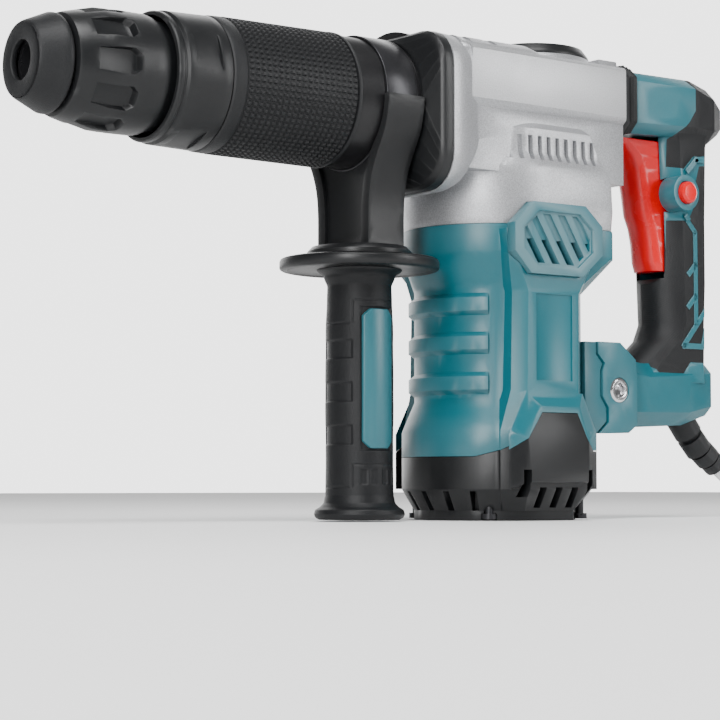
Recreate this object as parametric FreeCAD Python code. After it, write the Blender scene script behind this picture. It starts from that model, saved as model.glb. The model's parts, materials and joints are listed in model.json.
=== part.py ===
import FreeCAD, Part

import math
import os

V = FreeCAD.Vector

# Demolition hammer, millimetres. While modelling, X runs from the nose face (0) to the rear of the handle,
# Y is across the tool and Z is height above the base. export() shifts X so that the origin is the middle of
# the footprint, at the base.

# ---- driving dimensions -----------------------------------------------------------------------------------
LENGTH = 446.0          # nose face to rear of handle
AXIS_Z = 213.0          # hammer axis above the base
MOTOR_X = 287.0         # vertical motor axis
HANDLE_X = 195.0        # side handle axis
PIVOT = (349.3, 69.6)   # rear handle pivot (X, Z)
TRIGGER_PIVOT = (405.0, 204.0)

GEAR_MODULE = 1.2
PINION_TEETH = 10
WHEEL_TEETH = 33
CRANK_X = MOTOR_X + GEAR_MODULE * (PINION_TEETH + WHEEL_TEETH) / 2
CRANK_THROW = 14.0
ROD_LENGTH = 62.0

SHANK_R = 9.1           # clear bore for an 18 mm shank
KEYED_R = 9.3           # bore behind the guide, where the keys are
BARREL_R = 33.5
GRIP_R = 34.0
COLUMN_R = 43.2         # slim part of the motor housing
UPPER_R = 47.0          # shoulder of the motor housing
LOWER_R = 50.0          # foot of the motor housing
SEAM_Z = 153.0          # gear housing to motor housing
WALL = 3.0
MOTOR_BORE = 38.3       # inside of the motor housing
SEAM = 0.15             # half of each visible parting line
RUN = 0.05              # radial running clearance
SKIN = 2.6              # thickness of the soft covering
HANDLE_SCREWS = [(390, 232), (424, 224), (419, 92), (388, 66), (412, 66)]
COVER_SCREWS = [(256, -30), (256, 30), (318, -31), (318, 31)]
FLANGE_SCREW_R = 36.6
FLANGE_THREAD_R = 2.4
FLANGE_HEAD_R = 2.9

CORD_R = 4.5
COIL_CENTRE = (618.0, 12.0)
COIL_R = 50.0           # middle of the turns
COIL_WIDE = 4           # turns side by side
COIL_HIGH = 2           # layers

os.makedirs("parts", exist_ok=True)


# ---- helpers ----------------------------------------------------------------------------------------------
def wire(points):
    return Part.makePolygon([V(*p) for p in points] + [V(*points[0])])


def face(points):
    return Part.Face(wire(points))


def prism_x(yz, x0, x1):
    return face([(x0, y, z) for y, z in yz]).extrude(V(x1 - x0, 0, 0))


def prism_y(xz, y0, y1):
    return face([(x, y0, z) for x, z in xz]).extrude(V(0, y1 - y0, 0))


def prism_z(xy, z0, z1):
    return face([(x, y, z0) for x, y in xy]).extrude(V(0, 0, z1 - z0))


def box(x0, x1, y0, y1, z0, z1):
    return Part.makeBox(x1 - x0, y1 - y0, z1 - z0, V(x0, y0, z0))


def cyl(r, at, along, length):
    return Part.makeCylinder(r, length, V(*at), V(*along))


def ring(r_out, r_in, at, along, length):
    return cyl(r_out, at, along, length).cut(cyl(r_in, at, along, length))


def turned_x(profile, z=AXIS_Z):
    """Solid of revolution about the hammer axis from (x, radius) points."""
    return face([(x, 0, z + r) for x, r in profile]).revolve(V(0, 0, z), V(1, 0, 0), 360)


def turned_z(profile, x, y=0.0):
    """Solid of revolution about a vertical axis from (radius, z) points."""
    return face([(x + r, y, z) for r, z in profile]).revolve(V(x, y, 0), V(0, 0, 1), 360)


def turned_y(profile, x, z):
    """Solid of revolution about an axis along Y from (radius, y) points."""
    return face([(x + r, y, z) for r, y in profile]).revolve(V(x, 0, z), V(0, 1, 0), 360)


def loft(wires):
    return Part.makeLoft(wires, True, True)


def group(shapes):
    return Part.makeCompound(shapes)


def without_scraps(shape):
    return group([solid for solid in shape.Solids if solid.Volume > 900])


def fused(first, *others):
    return first.fuse(list(others)).removeSplitter()


def mirrored(shape):
    return shape.mirror(V(0, 0, 0), V(0, 1, 0))


def clipped_rect(a0, a1, b0, b1, c):
    """Corners of a rectangle in two coordinates with its corners cut by c."""
    return [(a0 + c, b0), (a1 - c, b0), (a1, b0 + c), (a1, b1 - c),
            (a1 - c, b1), (a0 + c, b1), (a0, b1 - c), (a0, b0 + c)]


def export(shape, name):
    moved = shape.copy()
    moved.translate(V(-LENGTH / 2, 0, 0))
    moved.exportStep(os.path.join("parts", name + ".step"))


def rounded_path(points):
    """Straight runs joined by tangent arcs, as a wire with the radii of its arcs and its length."""
    edges = []
    radii = []
    start = V(*points[0])
    for before, here, after in zip(points, points[1:], points[2:]):
        a, b, c = V(*before), V(*here), V(*after)
        run_in, run_out = b - a, c - b
        turn = run_in.getAngle(run_out)
        back = 0.45 * min(run_in.Length, run_out.Length)
        radii.append(back / math.tan(turn / 2))
        u, w = run_in.normalize(), run_out.normalize()
        arc_in, arc_out = b - u * back, b + w * back
        middle = b + (w - u).normalize() * (radii[-1] / math.cos(turn / 2) - radii[-1])
        edges.append(Part.LineSegment(start, arc_in).toShape())
        edges.append(Part.Arc(arc_in, middle, arc_out).toShape())
        start = arc_out
    edges.append(Part.LineSegment(start, V(*points[-1])).toShape())
    path = Part.Wire(edges)
    return path, radii, path.Length


def tube(points, r):
    path, radii, length = rounded_path(points)
    first = V(*points[1]) - V(*points[0])
    section = Part.Wire([Part.makeCircle(r, V(*points[0]), first)])
    return path.makePipeShell([section], True, True), radii, length


def coil_spring(radius, wire_r, turns, length, at, direction):
    """Open coil spring whose axis starts at a point and runs along a direction."""
    corners = 10
    points = []
    for k in range(corners * turns + 1):
        a = 2 * math.pi * k / corners
        points.append((radius * math.cos(a), radius * math.sin(a), length * k / (corners * turns)))
    coil = tube(points, wire_r)[0]
    coil.rotate(V(0, 0, 0), *turn_from_z(direction))
    coil.translate(V(*at))
    return coil


def turn_from_z(direction):
    turn = FreeCAD.Rotation(V(0, 0, 1), V(*direction))
    return turn.Axis, math.degrees(turn.Angle)


def ball_bearing(bore_r, outer_r, width, x, z):
    """Inner race, outer race and balls as separate solids about a vertical axis."""
    mid = (bore_r + outer_r) / 2
    ball_r = 0.3 * (outer_r - bore_r)
    races = 0.22 * (outer_r - bore_r)
    track = Part.makeTorus(mid, ball_r + 0.05, V(x, 0, z + width / 2))
    inner = ring(bore_r + races, bore_r, (x, 0, z), (0, 0, 1), width).cut(track)
    outer = ring(outer_r, outer_r - races, (x, 0, z), (0, 0, 1), width).cut(track)
    balls = []
    for i in range(8):
        a = 2 * math.pi * i / 8
        balls.append(Part.makeSphere(ball_r, V(x + mid * math.cos(a), mid * math.sin(a), z + width / 2)))
    return group([inner, outer] + balls)


def socket_screw(at, along, r, length, head_r, head_h):
    """Cap screw: the head's top is at the point, and the shank runs along the direction."""
    head = cyl(head_r, at, along, head_h)
    shank = cyl(r, at, along, head_h + length)
    hexagon = Part.makePolygon([V(0.62 * head_r * math.cos(k * math.pi / 3),
                                  0.62 * head_r * math.sin(k * math.pi / 3), 0) for k in range(7)])
    socket = Part.Face(hexagon).extrude(V(0, 0, head_h * 0.6))
    socket.rotate(V(0, 0, 0), *turn_from_z(along))
    socket.translate(V(*at))
    return head.fuse(shank).cut(socket)


def spur_outline(teeth, addendum, turn, thin=0.14):
    """Involute gear outline as (x, y) points, 20 degree pressure angle, thinned for backlash."""
    pitch_r = GEAR_MODULE * teeth / 2
    base_r = pitch_r * math.cos(math.radians(20))
    tip_r = pitch_r + addendum
    root_r = pitch_r - 1.3 * GEAR_MODULE
    half = math.pi / (2 * teeth) - thin / pitch_r
    inv20 = math.tan(math.radians(20)) - math.radians(20)
    flank = []
    for k in range(5):
        r = max(base_r, root_r) + (tip_r - max(base_r, root_r)) * k / 4
        pressure = math.acos(min(1.0, base_r / r))
        flank.append((r, half + inv20 - (math.tan(pressure) - pressure)))
    points = []
    for t in range(teeth):
        centre = turn + 2 * math.pi * t / teeth
        tooth = [(root_r, -flank[0][1])] + [(r, -a) for r, a in flank]
        tooth += [(r, a) for r, a in reversed(flank)] + [(root_r, flank[0][1])]
        points += [(r * math.cos(centre + a), r * math.sin(centre + a)) for r, a in tooth]
    return points


# ---- chuck ------------------------------------------------------------------------------------------------
def tool_holder():
    body = turned_x([(5, SHANK_R), (5, 15), (60, 15), (60, 17), (91, 17), (91, 19.95), (138, 19.95), (138, 14),
                     (98, 14), (98, KEYED_R), (38, KEYED_R), (38, 9.9), (34, 9.9), (34, SHANK_R)])
    keys = []
    for k in range(3):
        key = box(66, 88, -1.6, 1.6, AXIS_Z + 7.4, AXIS_Z + 9.8)
        key.rotate(V(0, 0, AXIS_Z), V(1, 0, 0), 90 + 120 * k)
        keys.append(key)
    slots = [box(47, 63, -3.1, 3.1, AXIS_Z + 5, AXIS_Z + 18), box(47, 63, -3.1, 3.1, AXIS_Z - 18, AXIS_Z - 5)]
    return fused(body, *keys).cut(group(slots))


def locking_rollers():
    return group([cyl(3.0, (48, 0, AXIS_Z + s * 11.4), (1, 0, 0), 14) for s in (1, -1)])


def dust_cap():
    return turned_x([(0, 9.4), (0, 17.2), (0.5, 18.1), (1.6, 18.7), (12.6, 23.5), (14.6, 23.7), (16.0, 22.9),
                      (16.6, 21.4), (16.6, 15.1), (4.9, 15.1), (4.9, 12), (3, 9.4)])


def chuck_cover():
    body = turned_x([(17.4, 21.6), (18.2, 24.2), (20.4, 25.0), (36, 28.8), (42, 29.1), (60, 29.0), (62.6, 28.5),
                     (66.0, 27.0), (70.2, 26.6), (70.2, 18), (63, 18), (63, 24), (33, 24), (33, 15.4),
                     (17.4, 15.4)])
    dents = []
    for k in range(10):
        floor_z, top_z = AXIS_Z + 25.6, AXIS_Z + 31
        plan = [(27, 5.0), (43.5, 5.6), (46.5, 3.2), (46.5, -3.2), (43.5, -5.6), (27, -5.0)]
        dent = loft([wire([(x, y, floor_z) for x, y in plan]),
                     wire([(x + (2.4 if x > 40 else -2.4), y * 1.25, top_z) for x, y in plan])])
        dent.rotate(V(0, 0, AXIS_Z), V(1, 0, 0), 36 * k + 18)
        dents.append(dent)
    return body.cut(group(dents))


def change_ring():
    body = turned_x([(66.4, 29.4), (66.8, 31.0), (67.6, 31.5), (69.6, 31.6), (70.2, 30.9), (71.4, 30.9), (72.4, 32.2),
                     (95.6, 32.9), (95.6, 27.9), (86.7, 27.9), (86.7, 17.6), (85, 17.6), (85, 29.4)])
    windows = []
    for k in range(4):
        window = box(76, 90, -10, 10, AXIS_Z + 31.2, AXIS_Z + 36)
        window.rotate(V(0, 0, AXIS_Z), V(1, 0, 0), 90 * k + 72)
        windows.append(window)
    return body.cut(group(windows))


def chuck_spring():
    return coil_spring(20.6, 1.1, 4, 25.0, (35.0, 0, AXIS_Z), (1, 0, 0))


def chuck_washers():
    return group([turned_x([(64, 15.1 + 1.95), (64, 17.9), (65.5, 17.9), (65.5, 17.05)]),
                  turned_x([(30, 15.02), (30, 15.38), (32.2, 15.38), (32.2, 15.02)])])


# ---- barrel and hammer mechanism --------------------------------------------------------------------------
def flange_screw_spots():
    angles = [math.radians(45 + 90 * k) for k in range(4)]
    return [(FLANGE_SCREW_R * math.cos(a), AXIS_Z + FLANGE_SCREW_R * math.sin(a)) for a in angles]


def flange_screw_holes():
    """Counterbored holes through the barrel flange and into the gear housing."""
    return group([cyl(FLANGE_HEAD_R + 0.2, (213, y, z), (1, 0, 0), 3.8).fuse(
        cyl(FLANGE_THREAD_R + 0.1, (213, y, z), (1, 0, 0), 22)) for y, z in flange_screw_spots()])


def barrel():
    body = turned_x([(87, 20), (87, 27.6), (96.4, 27.6), (96.4, 30.6), (171.8, 30.6), (171.8, BARREL_R),
                     (213.6, BARREL_R), (213.6, 40), (220.2, 40), (220.2, 21.1), (140, 21.1), (140, 20)])
    return body.cut(flange_screw_holes())


def barrel_grip():
    return turned_x([(96.4, 30.7), (96.4, 32.6), (97.4, 33.2), (103.5, 33.4), (104, 32.9), (169.6, 33.6),
                     (170.0, GRIP_R + 0.5), (171.6, GRIP_R + 0.5), (171.6, 30.7)])


def cylinder():
    return turned_x([(141, 17.6), (141, 21.05), (262, 21.05), (262, 17.6)])


def impact_bolt():
    return turned_x([(90, 0), (90, 7.2), (92, 8.9), (100, 8.9), (102, 13.95), (128, 13.95), (130, 9), (145, 9),
                     (146, 8), (146, 0)])


def striker():
    return turned_x([(152, 0), (152, 8.5), (158, 12), (164, 17.0), (166, 17.55), (198, 17.55), (200, 16.5),
                     (200, 0)])


def piston():
    body = turned_x([(222, 0), (222, 16.8), (223, 17.55), (250, 17.55), (250, 0)])
    slot = box(227.4, 251, -18, 18, AXIS_Z - 5.5, AXIS_Z + 5.5)
    pin_hole = cyl(4.02, (PISTON_PIN_X, 0, AXIS_Z - 20), (0, 0, 1), 40)
    return body.cut(group([slot, pin_hole]))


PISTON_PIN_X = CRANK_X - CRANK_THROW - ROD_LENGTH


def piston_pin():
    return cyl(4.0, (PISTON_PIN_X, 0, AXIS_Z - 15), (0, 0, 1), 30)


def connecting_rod():
    big_x = CRANK_X - CRANK_THROW
    big = ring(12.5, 6.05, (big_x, 0, AXIS_Z - 5), (0, 0, 1), 10)
    small = ring(8.5, 4.03, (PISTON_PIN_X, 0, AXIS_Z - 5), (0, 0, 1), 10)
    shank = prism_z([(PISTON_PIN_X + 7, -5), (big_x - 11, -7), (big_x - 11, 7), (PISTON_PIN_X + 7, 5)],
                    AXIS_Z - 4, AXIS_Z + 4)
    return fused(big, small, shank)


def crankshaft():
    shaft = cyl(7.5, (CRANK_X, 0, 127.6), (0, 0, 1), 65)
    web = cyl(21, (CRANK_X, 0, 192), (0, 0, 1), 9).cut(box(CRANK_X - 30, CRANK_X - 5, 11, 30, 190, 203))
    web = web.cut(box(CRANK_X - 30, CRANK_X - 5, -30, -11, 190, 203))
    pin = cyl(6.0, (CRANK_X - CRANK_THROW, 0, 200), (0, 0, 1), 24)
    return fused(shaft, web, pin)


def crank_gear():
    tooth_faces_pinion = math.pi
    outline = spur_outline(WHEEL_TEETH, 0.62 * GEAR_MODULE, tooth_faces_pinion)
    body = prism_z([(x + CRANK_X, y) for x, y in outline], 141, 151)
    hub = cyl(12, (CRANK_X, 0, 139.5), (0, 0, 1), 14)
    hollows = [cyl(3.2, (CRANK_X + 15.5 * math.cos(a), 15.5 * math.sin(a), 140), (0, 0, 1), 12)
               for a in [math.pi * k / 3 for k in range(6)]]
    return body.fuse(hub).cut(group(hollows + [cyl(7.5 + RUN, (CRANK_X, 0, 130), (0, 0, 1), 30)]))


# ---- motor ------------------------------------------------------------------------------------------------
def armature_shaft():
    tooth_gap_faces_wheel = math.pi / PINION_TEETH
    outline = spur_outline(PINION_TEETH, 0.8 * GEAR_MODULE, tooth_gap_faces_wheel)
    pinion = prism_z([(x + MOTOR_X, y) for x, y in outline], 139, 153)
    shaft = turned_z([(0, 8), (4, 8), (4, 19.5), (6, 19.5), (6, 125.5), (5, 125.5), (5, 135.5), (4.2, 136),
                      (4.2, 154), (0, 154)], MOTOR_X)
    return shaft.fuse(pinion)


def armature_core():
    body = ring(26.4, 6, (MOTOR_X, 0, 48), (0, 0, 1), 52)
    slots = []
    for k in range(16):
        slot = box(MOTOR_X + 23, MOTOR_X + 27, -1.1, 1.1, 47, 101)
        slot.rotate(V(MOTOR_X, 0, 0), V(0, 0, 1), 22.5 * k)
        slots.append(slot)
    return body.cut(group(slots))


def armature_windings():
    lower = turned_z([(11, 41), (22, 42.5), (24, 48), (8, 48)], MOTOR_X)
    upper = turned_z([(8, 100), (24, 100), (22, 106.5), (10, 108)], MOTOR_X)
    return group([lower, upper])


def commutator():
    body = ring(13.5, 6, (MOTOR_X, 0, 21), (0, 0, 1), 19)
    slits = []
    for k in range(24):
        slit = box(MOTOR_X + 12.3, MOTOR_X + 14, -0.25, 0.25, 20, 37)
        slit.rotate(V(MOTOR_X, 0, 0), V(0, 0, 1), 15 * k)
        slits.append(slit)
    return body.cut(group(slits))


def fan():
    disc = ring(35, 6, (MOTOR_X, 0, 118), (0, 0, 1), 2)
    hub = ring(10, 6, (MOTOR_X, 0, 110), (0, 0, 1), 9)
    blades = []
    for k in range(11):
        blade = box(MOTOR_X + 12, MOTOR_X + 35, -0.9, 0.9, 110, 118.5)
        blade.rotate(V(MOTOR_X + 12, 0, 0), V(0, 0, 1), 24)
        blade.rotate(V(MOTOR_X, 0, 0), V(0, 0, 1), 360 / 11 * k)
        blades.append(blade)
    return disc.fuse([hub] + blades).common(cyl(35, (MOTOR_X, 0, 109), (0, 0, 1), 12))


def stator():
    outer = cyl(MOTOR_BORE - 0.3, (MOTOR_X, 0, 46), (0, 0, 1), 56)
    bore = cyl(27.0, (MOTOR_X, 0, 45), (0, 0, 1), 58)
    pockets = [box(MOTOR_X - 16, MOTOR_X + 16, s * 29 - 6, s * 29 + 6, 45, 103) for s in (1, -1)]
    return outer.cut(bore).cut(group(pockets))


def field_coils():
    coils = []
    for z0, z1 in ((34.5, 45.7), (102.3, 108.5)):
        for s in (0, 180):
            arc = ring(36, 28.5, (MOTOR_X, 0, z0), (0, 0, 1), z1 - z0)
            arc = arc.common(box(MOTOR_X + 8, MOTOR_X + 40, -40, 40, z0, z1))
            arc.rotate(V(MOTOR_X, 0, 0), V(0, 0, 1), s)
            coils.append(arc)
    return group(coils)


def brush_holders():
    holders = []
    for s in (1, -1):
        outer = box(MOTOR_X - 5.5, MOTOR_X + 5.5, *sorted((s * 17, s * 36.5)), 24, 34.4)
        inner = box(MOTOR_X - 3.2, MOTOR_X + 3.2, *sorted((s * 16, s * 34.5)), 25.4, 33)
        holders.append(outer.cut(inner))
    return group(holders)


def carbon_brushes():
    return group([box(MOTOR_X - 3.1, MOTOR_X + 3.1, *sorted((s * 13.6, s * 29)), 25.6, 32.8)
                  .cut(cyl(13.55, (MOTOR_X, 0, 20), (0, 0, 1), 20)) for s in (1, -1)])


# ---- housings ---------------------------------------------------------------------------------------------
def column_wire(r, x_centre, x_rear, cut, z):
    """Plan section of the column: round front, flat sides, clipped rear corners."""
    arc = Part.Arc(V(x_centre, r, z), V(x_centre - r, 0, z), V(x_centre, -r, z)).toShape()
    corners = [(x_centre, -r), (x_rear - cut, -r), (x_rear, -r + cut), (x_rear, r - cut), (x_rear - cut, r),
               (x_centre, r)]
    sides = [Part.makeLine(V(*a, z), V(*b, z)) for a, b in zip(corners, corners[1:])]
    return Part.Wire([arc] + sides)


def column(shrink=0.0, top=SEAM_Z, bottom=0.0):
    """The upright column from the base to the gear housing, or its hollow when shrink is the wall."""
    upper = UPPER_R - shrink
    slim = COLUMN_R - shrink
    lower = LOWER_R - shrink
    base = 43.5 - shrink
    levels = [(top, upper, 283, 338 - shrink, 10), (139, upper, 283, 338 - shrink, 10),
              (121, slim, 286, 329 - shrink, 22), (62, slim, 286, 329 - shrink, 22),
              (46, lower, 286, 330 - shrink, 22), (16, lower, 286, 330 - shrink, 22),
              (5, base, 286, 324 - shrink, 22), (bottom, base, 286, 324 - shrink, 22)]
    return loft([column_wire(r, xc, xr, cut, z) for z, r, xc, xr, cut in levels])


def cross_block():
    """The raised flat on both flanks, drawn as one block that passes through the column."""
    levels = [(150, 256, 318, 47.6, 3), (138, 257, 318, 47.6, 3), (118, 262, 309, 47.6, 6), (67, 261, 308.5, 47.6, 6),
              (46, 255, 317, 50.2, 10), (16, 255, 317, 50.2, 10), (5, 260, 309, 44, 8)]
    return loft([slab_z(z, x0, x1, w, cut) for z, x0, x1, w, cut in levels])


def flank_wedge(side):
    """Faceted lower shield on one flank."""
    low = [(266, 66), (306, 66), (316, 45.5), (316, 16), (255, 16), (255, 45.5)]
    high = [(273.7, 58.5), (299.5, 58.5), (306, 42), (306, 20), (264, 20), (264, 42)]
    return loft([wire([(x, side * 46.8, z) for x, z in low]), wire([(x, side * 51.4, z) for x, z in high])])


def ribs():
    """Three raised bands round the front of the slim column."""
    bands = []
    for z in (111.8, 91.6, 70.8):
        band = turned_z([(40, z - 5.8), (43.2, z - 5.8), (46.3, z - 3.4), (46.3, z + 3.4), (43.2, z + 5.8),
                         (40, z + 5.8)], 286)
        sector = prism_z([(286, 0), (286 - 60 * math.cos(math.radians(45)), -60 * math.sin(math.radians(45))),
                          (220, -60), (220, 60),
                          (286 - 60 * math.cos(math.radians(45)), 60 * math.sin(math.radians(45)))], z - 8, z + 8)
        bands.append(band.common(sector))
    return bands


def motor_case_blank():
    return fused(column(), cross_block(), flank_wedge(-1), flank_wedge(1), *ribs())


COVER_LINE = [(225, 32.8), (246, 32.8), (255, 36.0), (264.5, 42.1), (273.8, 55.4), (298.3, 55.4), (305.6, 41.6),
              (312, 36.0), (345, 36.0)]


def below_cover_line(offset):
    return prism_y([(x, z + offset) for x, z in COVER_LINE] + [(345, -20), (225, -20)], -70, 70)


def vent_outline(grow=0.0):
    centre_x, centre_z = 287.0, 145.3
    corners = [(269.5, 164.2), (305.5, 164.2), (317.5, 154.0), (317.5, 139.0), (303.5, 127.0), (267.5, 127.0),
               (256.5, 138.0), (256.5, 152.6)]
    return [(x + grow * math.copysign(1, x - centre_x), z + grow * math.copysign(1, z - centre_z))
            for x, z in corners]


def vent_pocket(side):
    return prism_y(vent_outline(0.2), side * 44.4, side * 60)


def label_pocket(side, deep):
    return box(273.4, 298.4, *sorted((side * (47.6 - deep), side * 60)), 72.2, 117.0)


def upper_hollow(bottom, top, shrink):
    """Room above the motor for the gears, which widens towards the gear housing."""
    levels = [(125, 38.5, 286, 324, 18), (139, UPPER_R - WALL, 283, 335, 9), (178, UPPER_R - WALL, 283, 335, 9)]
    shape = loft([column_wire(r - shrink, xc, xr - shrink, cut, z) for z, r, xc, xr, cut in levels])
    return shape.common(box(200, 360, -60, 60, bottom, top))


def hollow_for_motor():
    """Inside of the motor housing and end cover."""
    bore = cyl(MOTOR_BORE, (MOTOR_X, 0, 4), (0, 0, 1), 121.5)
    return bore.fuse(upper_hollow(125, SEAM_Z + 1, 0))


def cover_screw_holes():
    return group([cyl(4.2, (x, y, -1), (0, 0, 1), 4.5).fuse(cyl(2.3, (x, y, -1), (0, 0, 1), 36))
                  for x, y in COVER_SCREWS])


def motor_housing():
    case = motor_case_blank().cut(below_cover_line(SEAM))
    case = case.cut(box(200, 360, -70, 70, SEAM_Z - SEAM, 200))
    cuts = [hollow_for_motor(), vent_pocket(-1), vent_pocket(1), label_pocket(-1, 0.9), label_pocket(1, 0.9)]
    return case.cut(group([cuts[0]])).cut(group(cuts[1:])).cut(cover_screw_holes())


def end_cover():
    case = motor_case_blank().common(below_cover_line(-SEAM))
    case = case.cut(hollow_for_motor())
    boss = cyl(15, (MOTOR_X, 0, 3), (0, 0, 1), 14)
    web = box(MOTOR_X - 3, MOTOR_X + 3, -42, 42, 3, 10).fuse(box(MOTOR_X - 42, MOTOR_X + 36, -3, 3, 3, 10))
    case = fused(case, boss, web)
    seat = cyl(11.02, (MOTOR_X, 0, 8.5), (0, 0, 1), 20).fuse(cyl(5, (MOTOR_X, 0, 6), (0, 0, 1), 10))
    slots = []
    for side in (1, -1):
        for k in range(5):
            x = 262 + 11 * k
            slots.append(box(x, x + 4.5, *sorted((side * 40, side * 60)), 12, 26) if k in (0, 4)
                         else box(x, x + 4.5, *sorted((side * 40, side * 60)), 6.5, 17))
    for k in range(5):
        a = math.radians(-36 + 18 * k)
        cut = box(286 - 56, 286 - 38, -1.8, 1.8, 5, 15)
        cut.rotate(V(286, 0, 0), V(0, 0, 1), math.degrees(a))
        slots.append(cut)
    for k in range(4):
        for s in (1, -1):
            slots.append(box(MOTOR_X + s * (9 + 7.5 * k) - 2, MOTOR_X + s * (9 + 7.5 * k) + 2, 8, 30, -1, 5))
            slots.append(box(MOTOR_X + s * (9 + 7.5 * k) - 2, MOTOR_X + s * (9 + 7.5 * k) + 2, -30, -8, -1, 5))
    return case.cut(seat).cut(group(slots)).cut(cover_screw_holes())


def vent_panel(side):
    """Octagonal vent with slanting slots, on one flank, seated in its pocket."""
    y_in, y_out = side * 44.5, side * 50.8
    plate = prism_y(vent_outline(), y_in, y_out)
    inner = [(287 + (x - 287) * 0.80, 145.4 + (z - 145.4) * 0.76) for x, z in vent_outline()]
    plate = plate.cut(prism_y(inner, side * 49.4, side * 60))
    slots = []
    for k in range(-2, 3):
        middle = 287 + 10.2 * k
        full = [(middle - 10.4, 158.6), (middle - 5.2, 158.6), (middle + 11.6, 132.4), (middle + 6.4, 132.4)]
        low = [(middle - 1.6, 144.6), (middle + 3.4, 145.2), (middle + 11.6, 132.4), (middle + 6.4, 132.4)]
        slots.append(prism_y(full, side * 48.0, side * 60))
        slots.append(prism_y(low, side * 40, side * 60))
    window = prism_y([(287 + (x - 287) * 0.74, 145.4 + (z - 145.4) * 0.69) for x, z in vent_outline()],
                     side * 40, side * 60)
    return plate.cut(fused(*slots).common(window))


def vent_panels():
    return group([vent_panel(side) for side in (-1, 1)])


def crankcase_outline():
    """Section of the crankcase: flanks that step in below a slanted facet."""
    half = [(38.5, 180), (38.5, 212.8), (42, 216.2), (42, 241.6), (39.6, 244)]
    return half + [(-y, z) for y, z in reversed(half)]


def hump_outline(top, flat, r):
    """Section of the raised front of the crankcase, with rounded upper corners."""
    half = [(38.4, 212.9), (41.9, 216.3)]
    half += [(flat + r * math.cos(a), top - r + r * math.sin(a)) for a in [math.radians(15 * k) for k in range(7)]]
    return half + [(-y, z) for y, z in reversed(half)]


def nose_frame(half, low, high, r):
    """Rounded square across the hammer axis as (y, z) corners, 7 points a corner."""
    points = []
    for cy, cz, start in ((half - r, high - r, 0), (-half + r, high - r, 90), (-half + r, low + r, 180),
                          (half - r, low + r, 270)):
        for k in range(7):
            a = math.radians(start + 15 * k)
            points.append((cy + r * math.cos(a), cz + r * math.sin(a)))
    return points


def gear_housing_blank():
    flare = loft([wire([(x, y, z) for y, z in nose_frame(half, low, top, r)])
                  for x, half, low, top, r in ((220.5, 46, 167.5, 249.6, 19), (227, 45.2, 168, 249.6, 19),
                                               (234, 42.6, 171, 249.3, 18), (247, 36.5, 182, 249.0, 16))])
    hump = loft([wire([(x, y, z) for y, z in hump_outline(top, 41.9 - r, r)])
                 for x, top, r in ((231, 249.5, 14), (279, 249.5, 13), (287, 244.5, 6))])
    crankcase = prism_x(crankcase_outline(), 236, 345)
    edge = [prism_z([(342.6, s * 44), (346, s * 44), (346, s * 39.6)], 170, 260) for s in (1, -1)]
    crankcase = crankcase.cut(group(edge))
    step = prism_x([(-36, 240), (36, 240), (34.5, 248.0), (-34.5, 248.0)], 331, 344)
    dome = turned_z([(0, 240), (34.5, 240), (34.5, 243.2), (31.5, 248.8), (0, 248.8)], CRANK_X)
    dome = dome.common(box(260, 345, -40, 40, 239, 250))
    shoulder = loft([column_wire(r, xc, xr, cut, z) for z, r, xc, xr, cut in
                     ((SEAM_Z, 46.4, 283, 337.4, 10), (165, 47.2, 283, 338, 10), (182.7, 47, 283, 337, 10),
                      (191.5, 42.4, 282, 335, 12), (204, 42.0, 282, 330, 13), (207.6, 38.4, 283, 327, 13))])
    return fused(flare, hump, crankcase, step, dome, shoulder)


def gear_housing():
    body = gear_housing_blank()
    body = body.cut(box(200, 360, -70, 70, 140, SEAM_Z + SEAM))
    chamber = loft([column_wire(UPPER_R - WALL - 1, 283, 338 - WALL - 1, 9, z) for z in (150, 178)])
    crank_room = prism_z(clipped_rect(288, 341, -34, 34, 8), 170, 240)
    rod_room = box(258, 300, -16, 16, AXIS_Z - 16, AXIS_Z + 16)
    front = cyl(40.15, (210, 0, AXIS_Z), (1, 0, 0), 10.3)
    bore = cyl(21.1, (214, 0, AXIS_Z), (1, 0, 0), 60)
    cap_bore = cyl(24.1, (CRANK_X, 0, 235), (0, 0, 1), 20).fuse(cyl(31.9, (CRANK_X, 0, 248.85), (0, 0, 1), 10))
    for hollow in (chamber, crank_room, rod_room, front, bore, cap_bore, flange_screw_holes()):
        body = body.cut(hollow)
    ledge = ring(22, 16.05, (CRANK_X, 0, 160), (0, 0, 1), 12).common(box(280, 341, -34, 34, 150, 200))
    bridge = box(255, 341, -43, 43, 168, 172).common(
        loft([column_wire(UPPER_R - 0.5, 283, 337.5, 10, z) for z in (160, 175)]))
    bridge = bridge.cut(cyl(16.05, (CRANK_X, 0, 150), (0, 0, 1), 40)).cut(cyl(9, (MOTOR_X, 0, 150), (0, 0, 1), 40))
    body = fused(body, ledge, bridge)
    slots = []
    for side in (1, -1):
        for k in range(10):
            x = 261.5 + 6.15 * k
            slots.append(box(x, x + 2.7, *sorted((side * 38.5, side * 60)), 187.4, 200.2))
    marks = []
    for x in (232.5, 249.5):
        mark = box(x, x + 6.5, -4.5, 4.5, 12.6, 20)
        mark.rotate(V(0, 0, 0), V(1, 0, 0), 26)
        mark.translate(V(0, -28, 236))
        marks.append(mark)
    pockets = [vent_pocket(-1), vent_pocket(1)]
    return body.cut(group(slots)).cut(group(marks + pockets))


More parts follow.
